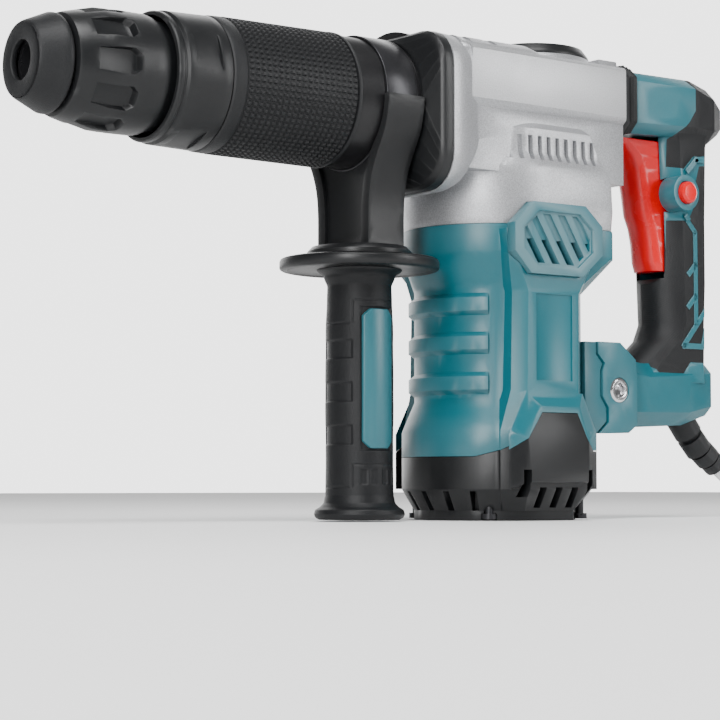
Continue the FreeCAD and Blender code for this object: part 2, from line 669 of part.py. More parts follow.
def front_bezel():
    outer = loft([wire([(x, y, z) for y, z in nose_frame(half, low, high, r)]) for x, half, low, high, r in
                  ((208.5, 35.0, 178.2, 247.8, 34.0), (213.5, 43.8, 169.5, 248.8, 20.5),
                   (215.5, 45.2, 168.3, 249.9, 19.5), (220.2, 45.6, 167.9, 249.9, 19.2))])
    cuts = [cyl(BARREL_R + 0.1, (200, 0, AXIS_Z), (1, 0, 0), 20), cyl(40.1, (213.6, 0, AXIS_Z), (1, 0, 0), 10)]
    return outer.cut(group(cuts))


def gear_plate():
    plate = upper_hollow(125.5, 138, 0.1)
    seats = [cyl(11.02, (MOTOR_X, 0, 127.4), (0, 0, 1), 20), cyl(7, (MOTOR_X, 0, 120), (0, 0, 1), 20),
             cyl(13.52, (CRANK_X, 0, 127.4), (0, 0, 1), 20)]
    return plate.cut(group(seats[:1])).cut(seats[1]).cut(seats[2])


def crank_cap():
    body = turned_z([(0, 241), (24, 241), (24, 248.9), (31.6, 248.9), (31.2, 250.5), (28.2, 254.6), (24, 255.2),
                     (0, 255.2)], CRANK_X)
    holes = [cyl(2.6, (CRANK_X + 20 * math.cos(a), 20 * math.sin(a), 250), (0, 0, 1), 8)
             for a in (0, math.pi / 2, math.pi, 1.5 * math.pi)]
    dish = turned_z([(0, 253.6), (14, 253.6), (16, 256), (0, 256)], CRANK_X)
    return body.cut(group(holes + [dish]))


def bearings():
    """Ball bearings of the motor shaft and of the crankshaft."""
    return group([ball_bearing(4.0 + RUN, 11, 8, MOTOR_X, 8.6), ball_bearing(5.0 + RUN, 11, 8, MOTOR_X, 127.6),
                  ball_bearing(7.5, 13.5, 9, CRANK_X, 127.6), ball_bearing(7.5, 16, 10, CRANK_X, 161)])


def case_screws():
    """Cap screws of the end cover, and four more that hold the barrel flange under the bezel."""
    screws = [socket_screw((x, y, 0.6), (0, 0, 1), 2.2, 30, 4.0, 2.8) for x, y in COVER_SCREWS]
    for y, z in flange_screw_spots():
        screws.append(socket_screw((213.7, y, z), (1, 0, 0), FLANGE_THREAD_R, 18, FLANGE_HEAD_R, 2.9))
    return group(screws)


# ---- side handle ------------------------------------------------------------------------------------------
ARM_LINE = [(213.0, 38.8), (203.0, 37.4), (194.5, 34.7), (186.0, 30.0), (177.0, 25.5), (168.0, 22.8),
            (160.0, 21.8), (139.0, 21.5)]


def yoke_arm(side):
    """One arm of the fork: a plate whose outer face follows ARM_LINE."""
    outer = [V(0, side * w, z) for z, w in ARM_LINE]
    inner = [V(0, side * (w - t), z) for (z, w), t in zip(ARM_LINE, (3.8, 4.6, 5.6, 6.4, 6.4, 6.0, 6.0, 6.0))]
    sides = []
    for line in (outer, inner):
        curve = Part.BSplineCurve()
        curve.interpolate(line)
        sides.append(curve.toShape())
    ends = [Part.makeLine(outer[0], inner[0]), Part.makeLine(outer[-1], inner[-1])]
    edges = Part.__sortEdges__(sides + ends)
    arm = Part.Face(Part.Wire(edges)).extrude(V(22.6, 0, 0))
    arm.translate(V(HANDLE_X - 10.6, 0, 0))
    return arm


def handle_yoke():
    disc = turned_z([(0, 133.8), (26.8, 133.8), (26.8, 137.0), (24.5, 139.4), (0, 139.4)], HANDLE_X)
    half = [(15.6, 139), (15.9, 160), (17.0, 168), (19.4, 177), (24.2, 186)]
    web = prism_x(half + [(-y, z) for y, z in reversed(half)], HANDLE_X - 8.2, HANDLE_X - 5.2)
    hole = cyl(4.1, (HANDLE_X, 0, 120), (0, 0, 1), 30)
    clear = cyl(BARREL_R + 1.45, (150, 0, AXIS_Z), (1, 0, 0), 100)
    return fused(disc, yoke_arm(1), yoke_arm(-1), web).cut(hole).cut(clear)


def clamp_band():
    """Steel strap round the barrel, and the curved shoe under it that the tie bolt pushes up."""
    x0 = HANDLE_X - 8.6
    width = 19.4
    strap = ring(BARREL_R + 1.35, BARREL_R + RUN, (x0, 0, AXIS_Z), (1, 0, 0), width)
    shoe = box(HANDLE_X - 4.8, HANDLE_X + 8, -15.2, 15.2, 165.2, 184)
    shoe = shoe.cut(cyl(BARREL_R + 1.45, (150, 0, AXIS_Z), (1, 0, 0), 100))
    return group([strap, shoe])


def tie_bolt():
    shank = cyl(4.0, (HANDLE_X, 0, 60), (0, 0, 1), 103)
    return shank.fuse(box(HANDLE_X - 4.8, HANDLE_X + 4.8, -7, 7, 160, 165))


def side_grip_core():
    profile = [(4.1, 30), (9, 30), (9, 126), (22, 127.9), (36.5, 127.9), (37.5, 127.0), (40.6, 127.6),
               (41, 128.6), (41, 132.4), (39.6, 133.6), (4.1, 133.6)]
    return turned_z(profile, HANDLE_X)


def side_grip_outline():
    """Outer profile of the soft grip as (radius, z), bottom flange to top."""
    return [(20.5, 0.6), (22.4, 1.6), (23.2, 3.4), (22.6, 5.6), (20.2, 7.0), (18.3, 9.0), (17.4, 13.0), (17.2, 30.0),
            (17.5, 60.0), (17.3, 96.0), (16.7, 112.0), (16.5, 119.0), (18.2, 124.2), (21.8, 127.8)]


def side_grip_rubber():
    outline = side_grip_outline()
    body = turned_z([(0, 0.6)] + outline + [(9.1, 126.0), (9.1, 29.8), (0, 29.8)], HANDLE_X)
    return body.cut(group([grip_inlay_block(s, 0.25) for s in (1, -1)]))


def grip_inlay_block(side, grow=0.0):
    block = prism_y(clipped_rect(HANDLE_X - 9.0 - grow, HANDLE_X + 9.0 + grow, 36.6 - grow, 107.0 + grow, 3.6),
                    side * 13.4, side * 20)
    return block


def side_grip_inlays():
    shell = turned_z([(10, 30), (17.8, 30), (17.8, 115), (10, 115)], HANDLE_X)
    return group([grip_inlay_block(s).common(shell) for s in (1, -1)])


# ---- rear handle ------------------------------------------------------------------------------------------
def slab_x(x, half, low, high, cut):
    """Clipped rectangle across X."""
    return wire([(x, y, z) for y, z in clipped_rect(-half, half, low, high, cut)])


def slab_z(z, x0, x1, half, cut):
    """Clipped rectangle across Z."""
    return wire([(x, y, z) for x, y in clipped_rect(x0, x1, -half, half, cut)])


def handle_top(shrink=0.0):
    """Top arm with its faceted rear corner."""
    s = shrink
    return loft([slab_x(371 + s, 22.5 - s, 214 + s, 248.5 - s, 5.5), slab_x(418, 22.5 - s, 216 + s, 249.0 - s, 5.5),
                 slab_x(434 - s, 21.5 - s, 214 + s, 245.5 - s, 6.5), slab_x(446 - s, 15.0 - s, 221 + s, 238.0 - s, 3.0)])


def grip_section(z, x0, x1, half, shrink):
    """Level section of the grip: rounded front, clipped rear corners."""
    x0, x1, half = x0 + shrink, x1 - shrink, half - shrink
    side = [(x0, 4.0), (x0 + 2.2, 9.6), (x0 + 6.4, 14.2), (x0 + 12.5, half), (x1 - 9, half), (x1 - 2, half - 6.5),
            (x1, half - 12)]
    return wire([(x, y, z) for x, y in side] + [(x, -y, z) for x, y in reversed(side)])


def handle_grip(shrink=0.0):
    """Upright grip with its lower sweep forward into the foot."""
    return loft([grip_section(z, x0, x1, half, shrink) for z, x0, x1, half in
                 ((226, 394, 440, 19.5), (212, 396, 438, 18.8), (170, 398, 437, 18.6), (133, 399.5, 437, 18.6),
                  (110, 400.5, 436, 18.4), (100, 396, 436, 18.4), (86, 379, 434.5, 19.5), (76, 366, 434, 20.5))])


def handle_foot(shrink=0.0):
    """Foot that runs forward to the pivot: a faceted beam with a deeper front end."""
    s = shrink
    beam = loft([slab_x(356 + s, 24 - s, 50 + s, 90 - s, 8), slab_x(380, 23 - s, 50.5 + s, 86 - s, 8),
                 slab_x(412, 21 - s, 52 + s, 87 - s, 7), slab_x(434 - s, 17 - s, 58 + s, 87 - s, 5)])
    cheek = [(333.6, 95.5), (350, 95.5), (361.5, 86.5), (362.5, 78), (362.5, 51), (356, 46.5), (334, 46.0),
             (341.2, 52), (341.2, 60), (336.8, 66), (336.8, 80), (338.6, 84), (333.6, 89)]
    front = prism_y([(x, z) for x, z in cheek], -(30 - s), 30 - s)
    return beam, front


def handle_blank():
    beam, front = handle_foot()
    return fused(handle_top(), handle_grip(), beam, front)


def rubber_zone():
    """Side outline of the soft covering: rear corner, back strap and lower grip."""
    upper = [(411, 260), (414, 249), (418, 243.5), (418, 231), (413, 224), (402.5, 214), (402.5, 198.5),
             (411.5, 197.5), (419, 205), (450, 209), (450, 260)]
    lower = [(403.2, 168), (415, 168), (419.5, 176), (421, 190), (424, 200), (450, 204), (450, 87.5), (415, 87.5),
             (407, 79), (391.5, 79), (386, 84), (360, 92), (360, 131), (394, 131), (400, 133), (403.2, 138)]
    return [prism_y(upper, -40, 40), prism_y(lower, -40, 40)]


def trigger_pocket():
    return prism_y([(340, 216), (420, 216), (420, 200), (412, 190), (412, 136), (380, 134), (340, 134)], -11, 11)


def button_axis():
    return (405.3, 182.5)


def soft_skin():
    """Outer layer of the grip where the soft covering lies."""
    zones = rubber_zone()
    skin = fused(handle_top(), handle_grip()).common(zones[0].fuse(zones[1]))
    return skin.cut(fused(handle_top(SKIN), handle_grip(SKIN), handle_foot()[0]))


def grip_cover():
    bx, bz = button_axis()
    skin = soft_skin().cut(trigger_pocket()).cut(cyl(10.4, (bx, -40, bz), (0, 1, 0), 28))
    return without_scraps(skin)


def handle_interior():
    """Hollows of the rear handle: top arm, grip, foot, trigger slot and the space round the bracket's tongue."""
    rooms = [box(374, 430, -14, 14, 220, 242), box(402, 430, -12, 12, 100, 222), box(382, 428, -14, 14, 60, 100),
             box(366, 400, -14, 14, 58, 78), box(325, 366, -20.4, 20.4, 30, 104), trigger_pocket()]
    first = rooms[0]
    return first.fuse(rooms[1:])


def handle_body():
    """Both halves of the handle in one piece, without the soft covering."""
    bore = cyl(6.9, (PIVOT[0], -40, PIVOT[1]), (0, 1, 0), 80)
    screw_holes = [cyl(3.5, (x, 13.2, z), (0, 1, 0), 12) for x, z in HANDLE_SCREWS]
    cord_hole = tube(RELIEF_ROUTE, RELIEF_R + 0.1)[0]
    return handle_blank().cut(soft_skin()).cut(handle_interior()).cut(group([bore, cord_hole] + screw_holes))


def handle_shell_left():
    bx, bz = button_axis()
    boss = ring(10, 6.6, (bx, -27, bz), (0, 1, 0), 12)
    half = handle_body().cut(cyl(9.9, (bx, -40, bz), (0, 1, 0), 30))
    half = half.common(box(300, 460, -40, -0.02, 0, 300)).fuse(boss)
    return without_scraps(half)


def handle_shell_right():
    return without_scraps(handle_body().common(box(300, 460, 0.02, 40, 0, 300)))


def handle_bracket():
    """Lug block on the motor housing that the rear handle hangs on."""
    lug = [(324, 95.2), (332.4, 95.2), (332.4, 88.6), (337.0, 83.6), (335.4, 80), (335.4, 66), (339.8, 59.6),
           (339.8, 52.4), (332.6, 46.2), (324, 46.2)]
    wide = prism_y(lug, -29.6, 29.6)
    tongue = prism_y([(328, 90), (345, 90), (357, 84), (360, 76), (360, 62), (353, 54), (328, 50)], -19.6, 19.6)
    body = fused(wide, tongue)
    body = body.cut(motor_case_blank())
    return body.cut(cyl(8.02, (PIVOT[0], -30, PIVOT[1]), (0, 1, 0), 60))


def pivot_bush():
    return turned_y([(5.0, -20.2), (8.0, -19.6), (8.0, 19.6), (5.0, 20.2)], *PIVOT)


def pivot_bolt():
    """Shouldered cap bolt with its nut, whose shank turns in the bush."""
    nut = ring(6.7, 5.0, (PIVOT[0], 21, PIVOT[1]), (0, 1, 0), 8.6)
    head = turned_y([(0, -30.4), (5.6, -30.4), (6.7, -29.8), (6.7, -20.6), (4.95, -20.6), (4.95, 20.6), (4.95, 29),
                     (0, 29)], *PIVOT)
    corners = [0.5 + k * math.pi / 3 for k in range(6)]
    hexagon = prism_y([(PIVOT[0] + 4.3 * math.cos(a), PIVOT[1] + 4.3 * math.sin(a)) for a in corners], -31, -25)
    return group([head.cut(hexagon), nut])


def handle_boot():
    """Rubber bellows between the gear housing and the handle's top arm."""
    sections = []
    folds = [(345.2, 40.0, 208, 245.5, 7), (348.6, 40.0, 207.5, 247.0, 7), (351.4, 34.5, 211, 245, 6.5),
             (354.4, 36.0, 209.5, 248.5, 6.5), (357.6, 30.5, 212.5, 246, 6), (360.8, 31.5, 211.5, 249.0, 6),
             (364.4, 26.0, 214.5, 247, 5.5), (367.6, 26.5, 213.0, 249.4, 5.5), (370.8, 23.5, 215, 248.8, 5.5)]
    for x, half, low, high, cut in folds:
        sections.append(slab_x(x, half, low, high, cut))
    inner = loft([slab_x(x, half - 4.5, low + 4.5, high - 4.5, 3) for x, half, low, high in
                  ((345.0, 34.0, 211, 246), (370.9, 23.5, 216, 247))])
    return loft(sections).cut(inner)


def damper_spring():
    return coil_spring(9.0, 1.3, 4, 22.0, (347.4, 0, 231), (1, 0, 0))


def trigger():
    """Long two-finger trigger with a rounded front, drawn as level sections."""
    fronts = [(213.0, 366.0), (209.8, 372.5), (204, 379.0), (196, 382.6), (184, 385.0), (171, 387.2), (164, 390.4),
              (155, 392.4), (145, 393.4), (139.4, 395.4)]
    sections = []
    for z, x0 in fronts:
        side = [(x0, 2.6), (x0 + 1.0, 6.0), (x0 + 3.4, 8.8), (x0 + 7.5, 10.4), (408, 10.4)]
        sections.append(wire([(x, y, z) for x, y in side] + [(x, -y, z) for x, y in reversed(side)]))
    return loft(sections).cut(cyl(2.55, (TRIGGER_PIVOT[0], -20, TRIGGER_PIVOT[1]), (0, 1, 0), 40))


def trigger_pin():
    return cyl(2.5, (TRIGGER_PIVOT[0], -10.9, TRIGGER_PIVOT[1]), (0, 1, 0), 21.8)


def switch_module():
    return box(416, 429, -9, 9, 146, 188)


def lock_button():
    bx, bz = button_axis()
    return turned_y([(0, -30.4), (4.4, -30.4), (5.9, -29.4), (6.2, -27.8), (6.2, -14.2), (0, -14.2)], bx, bz)


def handle_screws():
    return group([socket_screw((x, 16.0, z), (0, -1, 0), 1.9, 0.2, 3.3, 2.6) for x, z in HANDLE_SCREWS])


# ---- cord -------------------------------------------------------------------------------------------------
RELIEF_R = 8.0
RELIEF_ROUTE = [(417.4, 0, 66.0), (437.0, 0, 42.6), (455.1, 0, 29.2)]


def strain_relief():
    """Curved rubber sleeve with thick collars round the cord where it leaves the handle."""
    core = tube(RELIEF_ROUTE, 6.0)[0]
    collars = []
    for (x, z), tilt, r, length in (((417.4, 66.0), 50.0, RELIEF_R, 23.5), ((433.9, 46.0), 46.0, 7.7, 10.5),
                                    ((442.4, 38.4), 38.0, 7.3, 8.0), ((449.8, 33.1), 36.5, 6.8, 6.2)):
        a = math.radians(tilt)
        collars.append(cyl(r, (x, 0, z), (math.cos(a), 0, -math.sin(a)), length))
    before, end = V(*RELIEF_ROUTE[-2]), V(*RELIEF_ROUTE[-1])
    back = (before - end).normalize()
    return fused(core, *collars).cut(cyl(CORD_R + 0.02, end - back, back, 8))


def cord_tube(points):
    solid, radii, length = tube(points, CORD_R)
    ratio = solid.Volume / (math.pi * CORD_R ** 2 * length)
    print("cord", [round(value) for value in radii], "length", round(length), "volume ratio", round(ratio, 3))
    return solid


CORD_ROUTE = [(449.5, 0, 33.35), (476.3, 0, 13.5), (506, -3, 4.6), (533, -11, 4.6), (555, -27, 4.6),
              (580, -42, 4.6), (607, -50.5, 4.6), (634, -52.5, 4.6)]
TAIL_ROUTE = [(554.5, 25.4, 13.5), (554.5, -1.4, 16), (567.9, -24.6, 21), (591.1, -38, 23.5), (617.9, -38, 25.5),
              (641.1, -24.6, 27.3), (654.5, -1.4, 27.3)]


def coil_bounds():
    return COIL_R - COIL_WIDE * CORD_R, COIL_R + COIL_WIDE * CORD_R, 2 * COIL_HIGH * CORD_R


def coil_blank():
    r_in, r_out, high = coil_bounds()
    return ring(r_out, r_in, (*COIL_CENTRE, 0), (0, 0, 1), high)


def power_cord():
    """The cord from the handle to its coil, and from the coil to the plug."""
    lengths = [cord_tube(route).cut(coil_blank()) for route in (CORD_ROUTE, TAIL_ROUTE)]
    return without_scraps(group(lengths))


def cable_tie():
    r_in, r_out, high = coil_bounds()
    outer = box(-3, 3, r_in - 0.6, r_out + 0.6, 0, high + 0.6)
    loop = outer.cut(box(-4, 4, r_in + 0.8, r_out - 0.8, 1.2, high - 0.8))
    head = box(-3.5, 3.5, r_out + 0.6, r_out + 4.6, 6, 11)
    tie = loop.fuse(head)
    tie.rotate(V(0, 0, 0), V(0, 0, 1), 30)
    tie.translate(V(*COIL_CENTRE, 0))
    return tie


def cord_coil():
    return coil_blank().cut(cable_tie())


def at_plug(shape):
    """Place a shape that is drawn about the origin, pointing along +X, at the end of the cord's tail."""
    end, before = V(*TAIL_ROUTE[-1]), V(*TAIL_ROUTE[-2])
    heading = math.degrees(math.atan2(end.y - before.y, end.x - before.x))
    shape.rotate(V(0, 0, 0), V(0, 0, 1), heading)
    shape.translate(end)
    return shape


def plug_body():
    sleeve = loft([slab_x(0, 6.2, -6.2, 6.2, 2.4), slab_x(14, 8.2, -8.2, 8.2, 3.2)])
    body = loft([slab_x(14, 12, -9.2, 9.2, 3.6), slab_x(22, 15, -9.2, 9.2, 3.6), slab_x(44, 15, -9.2, 9.2, 3.6)])
    return at_plug(sleeve.fuse(body))


def plug_pins():
    return at_plug(group([cyl(2.4, (44.1, s * 8.0, 0), (1, 0, 0), 16) for s in (1, -1)]))


def main():
    makers = [tool_holder, locking_rollers, dust_cap, chuck_cover, change_ring, chuck_spring, chuck_washers,
              barrel, barrel_grip, cylinder, impact_bolt, striker, piston, piston_pin, connecting_rod, crankshaft,
              crank_gear, bearings, armature_shaft, armature_core, armature_windings, commutator, fan, stator,
              field_coils, brush_holders, carbon_brushes, motor_housing, end_cover, case_screws, vent_panels,
              gear_housing, front_bezel, gear_plate, crank_cap, handle_yoke, clamp_band, tie_bolt,
              side_grip_core, side_grip_rubber, side_grip_inlays, handle_bracket, pivot_bush, pivot_bolt,
              handle_boot, damper_spring, handle_shell_left, handle_shell_right, grip_cover, trigger,
              trigger_pin, switch_module, lock_button, handle_screws, strain_relief, power_cord, cord_coil,
              cable_tie, plug_body, plug_pins]
    for make in makers:
        export(make(), make.__name__)


main()
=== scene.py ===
import json
import math

import bmesh
import bpy
from mathutils import Matrix, Vector
from mathutils.bvhtree import BVHTree


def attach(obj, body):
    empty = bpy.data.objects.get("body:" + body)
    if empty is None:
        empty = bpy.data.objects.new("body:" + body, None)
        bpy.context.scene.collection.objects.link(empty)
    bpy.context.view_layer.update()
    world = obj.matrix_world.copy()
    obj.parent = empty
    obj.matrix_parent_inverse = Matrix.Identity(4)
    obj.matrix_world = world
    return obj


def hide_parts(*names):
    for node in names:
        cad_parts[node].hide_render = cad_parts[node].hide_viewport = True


MM = 0.001
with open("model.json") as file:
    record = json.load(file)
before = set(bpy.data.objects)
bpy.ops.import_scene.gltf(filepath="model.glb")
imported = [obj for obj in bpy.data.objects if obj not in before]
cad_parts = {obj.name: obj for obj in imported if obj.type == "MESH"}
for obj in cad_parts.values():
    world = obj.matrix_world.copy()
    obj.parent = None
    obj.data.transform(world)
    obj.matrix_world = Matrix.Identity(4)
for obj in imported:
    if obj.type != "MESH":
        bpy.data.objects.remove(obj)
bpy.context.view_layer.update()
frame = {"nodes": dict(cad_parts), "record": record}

NOSE_X = -0.223         # nose face, in metres from the frame's origin
AXIS_Z = 213            # height of the hammer axis in millimetres


def at(x, y, z):
    """A point given in millimetres from the nose face, the middle plane and the floor."""
    return Vector((NOSE_X + x * MM, y * MM, z * MM))


# ---- camera -----------------------------------------------------------------------------------------------
CAMERA_AT = at(-454.9, -861.4, 17.6)
CAMERA_YAW = math.radians(37.05)
CAMERA_PITCH = math.radians(3.41)
CAMERA_LENS = 105.9


def add_camera():
    data = bpy.data.cameras.new("camera")
    data.lens = CAMERA_LENS
    data.sensor_width = 36.0
    camera = bpy.data.objects.new("camera", data)
    camera.location = CAMERA_AT
    camera.rotation_euler = (math.pi / 2 + CAMERA_PITCH, 0, -CAMERA_YAW)
    bpy.context.scene.collection.objects.link(camera)
    bpy.context.scene.camera = camera


add_camera()

# ---- cord -------------------------------------------------------------------------------------------------
CORD_D = 9 * MM
COIL_CENTRE = at(618, 12, 0)
COIL_R = 50 * MM
COIL_WIDE = 4           # turns side by side
COIL_HIGH = 2           # layers
COIL_STEPS = 16         # points in each turn
CORD_ROUTE = [(449.5, 0, 33.35), (476.3, 0, 13.5), (506, -3, 4.6), (533, -11, 4.6), (555, -27, 4.6),
              (580, -42, 4.6), (607, -50.5, 4.6)]
TAIL_ROUTE = [(554.5, -1.4, 16), (567.9, -24.6, 21), (591.1, -38, 23.5), (617.9, -38, 25.5),
              (641.1, -24.6, 27.3), (654.5, -1.4, 27.3)]
LAST_TURN = 0.75        # the last turn stops short, where the tail climbs over the coil


def coil_points():
    """Turns of the coil: outwards-in on the floor, then inwards-out on top of them."""
    radii = [COIL_R + (COIL_WIDE / 2 - 0.5 - k) * CORD_D for k in range(COIL_WIDE)]
    points = []
    start = -math.pi / 2
    for layer in range(COIL_HIGH):
        order = radii if layer % 2 == 0 else radii[::-1]
        for turn, r in enumerate(order):
            last_layer = layer == COIL_HIGH - 1
            last_turn = turn == COIL_WIDE - 1
            following = r if last_turn else order[turn + 1]
            steps = int(COIL_STEPS * LAST_TURN) + 1 if last_layer and last_turn else COIL_STEPS
            for k in range(steps):
                t = k / COIL_STEPS
                blend = max(0.0, t - 0.75) * 4
                radius = r + (following - r) * min(1.0, blend)
                lift = layer + (min(1.0, blend) if last_turn and not last_layer else 0)
                a = start + 2 * math.pi * t
                points.append(COIL_CENTRE + Vector((radius * math.cos(a), radius * math.sin(a),
                                                    CORD_D * (0.5 + lift))))
    return points


def cord_curve(name, points):
    curve = bpy.data.curves.new(name, "CURVE")
    curve.dimensions = "3D"
    curve.bevel_depth = CORD_D / 2
    curve.bevel_resolution = 6
    curve.resolution_u = 10
    curve.use_fill_caps = True
    spline = curve.splines.new("NURBS")
    spline.points.add(len(points) - 1)
    for target, p in zip(spline.points, points):
        target.co = (*p, 1.0)
    spline.order_u = 3
    spline.use_endpoint_u = True
    cord = bpy.data.objects.new(name, curve)
    bpy.context.scene.collection.objects.link(cord)
    return cord


cord = cord_curve("cord", [at(*p) for p in CORD_ROUTE] + coil_points() + [at(*p) for p in TAIL_ROUTE])
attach(cord, "rear_handle")
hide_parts("power_cord")
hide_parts("cord_coil")


# ---- materials --------------------------------------------------------------------------------------------
def new_material(name):
    material = bpy.data.materials.new(name)
    material.use_nodes = True
    nodes = material.node_tree.nodes
    shader = nodes["Principled BSDF"]
    coords = nodes.new("ShaderNodeTexCoord")
    return material, nodes, material.node_tree.links, shader, coords.outputs["Object"]


def noise_of(nodes, links, coords, scale, detail=3.0, rough=0.55):
    noise = nodes.new("ShaderNodeTexNoise")
    noise.inputs["Scale"].default_value = scale
    noise.inputs["Detail"].default_value = detail
    noise.inputs["Roughness"].default_value = rough
    links.new(coords, noise.inputs["Vector"])
    return noise.outputs["Fac"]


def ramp_of(nodes, links, source, stops):
    """Colour ramp with (position, colour) stops."""
    ramp = nodes.new("ShaderNodeValToRGB")
    elements = ramp.color_ramp.elements
    while len(elements) < len(stops):
        elements.new(0.5)
    for element, (position, colour) in zip(elements, stops):
        element.position = position
        element.color = (*colour, 1.0)
    links.new(source, ramp.inputs["Fac"])
    return ramp.outputs["Color"]


def grey(value):
    return (value, value, value)


def scaled(colour, factor):
    return tuple(min(1.0, c * factor) for c in colour)


def surface(name, colour, rough, metallic=0.0, speck_scale=900.0, speck=0.06, bump_scale=1400.0, bump=0.05,
            edge_wear_and_highlight=0.0, coat=0.0, specular=0.5):
    """A moulded, painted or ground surface: speckled colour, uneven gloss, fine bump and paler edges that are
    partly real wear and partly a painted highlight.
    """
    material, nodes, links, shader, coords = new_material(name)
    speckle = noise_of(nodes, links, coords, speck_scale)
    tint = ramp_of(nodes, links, speckle,
                   [(0.3, scaled(colour, 1 - speck)), (0.7, scaled(colour, 1 + speck))])
    # Convex edges (pointiness) are painted paler: partly real wear, partly a painted highlight where the
    # edges catch the light.
    if edge_wear_and_highlight:
        geometry = nodes.new("ShaderNodeNewGeometry")
        edge = ramp_of(nodes, links, geometry.outputs["Pointiness"], [(0.5, grey(0.0)), (0.62, grey(edge_wear_and_highlight))])
        mix = nodes.new("ShaderNodeMixRGB")
        links.new(edge, mix.inputs["Fac"])
        links.new(tint, mix.inputs["Color1"])
        mix.inputs["Color2"].default_value = (*[c + (0.75 - c) * 0.5 for c in colour], 1.0)
        tint = mix.outputs["Color"]
    links.new(tint, shader.inputs["Base Color"])
    smears = noise_of(nodes, links, coords, 35.0, 4.0)
    gloss = [(0.25, grey(rough * 0.85)), (0.75, grey(min(1.0, rough * 1.15)))]
    links.new(ramp_of(nodes, links, smears, gloss), shader.inputs["Roughness"])
    grain = nodes.new("ShaderNodeBump")
    grain.inputs["Strength"].default_value = bump
    grain.inputs["Distance"].default_value = 0.0004
    links.new(noise_of(nodes, links, coords, bump_scale, 2.0), grain.inputs["Height"])
    links.new(grain.outputs["Normal"], shader.inputs["Normal"])
    shader.inputs["Metallic"].default_value = metallic
    shader.inputs["Specular IOR Level"].default_value = specular
    if coat:
        shader.inputs["Coat Weight"].default_value = coat
        shader.inputs["Coat Roughness"].default_value = 0.15
    return material


def hatched(name, colour, rough):
    """Soft covering with fine diagonal moulded lines."""
    material = surface(name, colour, rough, bump=0.25, bump_scale=2500.0, edge_wear_and_highlight=0.05, specular=0.28)
    nodes, links = material.node_tree.nodes, material.node_tree.links
    coords = nodes.new("ShaderNodeTexCoord")
    mapping = nodes.new("ShaderNodeMapping")
    mapping.inputs["Rotation"].default_value = (0, math.radians(52), 0)
    links.new(coords.outputs["Object"], mapping.inputs["Vector"])
    wave = nodes.new("ShaderNodeTexWave")
    wave.bands_direction = "X"
    wave.inputs["Scale"].default_value = 380.0
    links.new(mapping.outputs["Vector"], wave.inputs["Vector"])
    lines = nodes.new("ShaderNodeBump")
    lines.inputs["Strength"].default_value = 0.18
    lines.inputs["Distance"].default_value = 0.0006
    links.new(wave.outputs["Fac"], lines.inputs["Height"])
    fine = next(n for n in nodes if n.bl_idname == "ShaderNodeBump" and n is not lines)
    links.new(lines.outputs["Normal"], fine.inputs["Normal"])
    return material


TEAL = (0.0, 0.105, 0.135)
MATERIALS = {
    "grey_paint": surface("silver_paint", (0.40, 0.405, 0.42), 0.40, metallic=0.6, speck_scale=1500.0,
                          speck=0.26, bump_scale=1800.0, bump=0.3, edge_wear_and_highlight=0.35),
    "teal_plastic": surface("teal_plastic", TEAL, 0.36, bump_scale=2600.0, bump=0.10, edge_wear_and_highlight=0.16, speck=0.03),
    "black_plastic": surface("black_plastic", (0.0055, 0.006, 0.0068), 0.36, bump_scale=2200.0, bump=0.14,
                             edge_wear_and_highlight=0.05, specular=0.32),
    "black_rubber": surface("black_rubber", (0.007, 0.0075, 0.0085), 0.48, bump_scale=1800.0, bump=0.35,
                            edge_wear_and_highlight=0.04, specular=0.26),
    "red_plastic": surface("red_plastic", (0.66, 0.0, 0.004), 0.26, bump_scale=900.0, bump=0.03, speck=0.03,
                           coat=0.2, specular=0.35),
    "blackened_steel": surface("blackened_steel", (0.03, 0.03, 0.033), 0.30, metallic=0.6, bump=0.12),
    "steel": surface("steel", (0.55, 0.55, 0.56), 0.28, metallic=1.0, bump=0.10, speck=0.08),
    "bright_steel": surface("bright_steel", (0.72, 0.72, 0.73), 0.16, metallic=1.0, bump=0.04),
    "dark_alloy": surface("dark_alloy", (0.008, 0.008, 0.009), 0.30, metallic=0.2, bump=0.12, edge_wear_and_highlight=0.05,
                          specular=0.4),
    "copper": surface("copper", (0.60, 0.25, 0.11), 0.35, metallic=1.0, bump=0.3, speck=0.15),
    "lamination": surface("lamination", (0.25, 0.25, 0.26), 0.45, metallic=0.9, bump=0.3),
    "carbon": surface("carbon", (0.04, 0.04, 0.042), 0.6, bump=0.3, speck=0.2),
    "brass": surface("brass", (0.65, 0.45, 0.18), 0.3, metallic=1.0, bump=0.08),
    "nylon": surface("nylon", (0.62, 0.60, 0.55), 0.45, bump=0.1),
}
GRIP_RUBBER = hatched("grip_rubber", (0.007, 0.0075, 0.0085), 0.46)


# ---- mesh tools -------------------------------------------------------------------------------------------
def piece(name, vertices, faces, body, slot, material=None, instead_of=None, angle=35.0):
    mesh = bpy.data.meshes.new(name)
    mesh.from_pydata([tuple(v) for v in vertices], [], faces)
    mesh.update()
    obj = bpy.data.objects.new(name, mesh)
    bpy.context.scene.collection.objects.link(obj)
    obj.data.materials.append(material or MATERIALS[slot])
    smooth_by_angle(mesh, angle)
    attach(obj, body)
    if instead_of:
        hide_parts(instead_of)
    return obj


def smooth_by_angle(mesh, degrees):
    mesh.shade_smooth()
    mesh.set_sharp_from_angle(angle=math.radians(degrees))


def skin_grid(rows, columns, closed_ring=True, caps=True):
    """Faces over a grid of vertices: rows of rings."""
    faces = []
    for i in range(rows - 1):
        for j in range(columns if closed_ring else columns - 1):
            k = (j + 1) % columns
            faces.append((i * columns + j, i * columns + k, (i + 1) * columns + k, (i + 1) * columns + j))
    if caps:
        faces.append(tuple(range(columns))[::-1])
        faces.append(tuple((rows - 1) * columns + j for j in range(columns)))
    return faces


